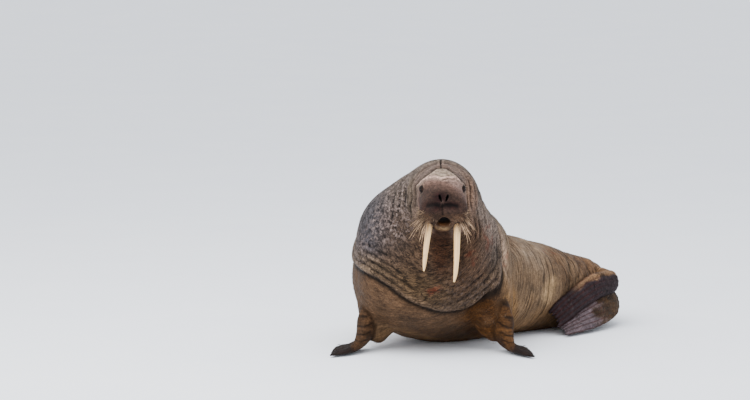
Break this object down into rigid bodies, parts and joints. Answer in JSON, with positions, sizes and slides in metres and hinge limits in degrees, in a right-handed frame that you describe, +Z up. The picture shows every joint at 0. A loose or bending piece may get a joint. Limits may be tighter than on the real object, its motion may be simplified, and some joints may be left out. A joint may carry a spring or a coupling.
{
  "type": "walrus",
  "caption": "Life-size adult walrus resting with its chest raised, tusks down, bristled muzzle forward and hind flippers folded beside it.",
  "frame": {"origin": "middle of the bounding box at floor level", "axes": "+Z up; the head looks towards -Y; +X is the walrus's left side"},
  "size_m": [1.8436, 1.977, 1.1849],
  "materials": {
    "skin_neck": "rough wrinkled hide, grey-brown with pale lumps and flecks",
    "skin_body": "hide under short flat cinnamon-brown hair, soft sheen",
    "skin_muzzle": "smooth damp purplish grey-brown skin set with stiff pale bristles",
    "skin_flipper": "bare dark charcoal skin, finely creased, slightly damp",
    "ivory": "worn ivory with fine lengthwise streaks, semi-gloss",
    "eye": "wet dark brown, glossy"
  },
  "bodies": {
    "root": {"head": "skin_neck", "neck": "skin_neck", "muzzle": "skin_muzzle", "lower_jaw": "skin_muzzle", "chest": "skin_body", "torso": "skin_body", "hindquarters": "skin_body", "tail": "skin_body", "fore_flipper_left": "skin_flipper", "fore_flipper_right": "skin_flipper", "hind_flipper_left": "skin_flipper", "hind_flipper_right": "skin_flipper", "tusk_left": "ivory", "tusk_right": "ivory", "eye_left": "eye", "eye_right": "eye"}
  },
  "joints": []
}
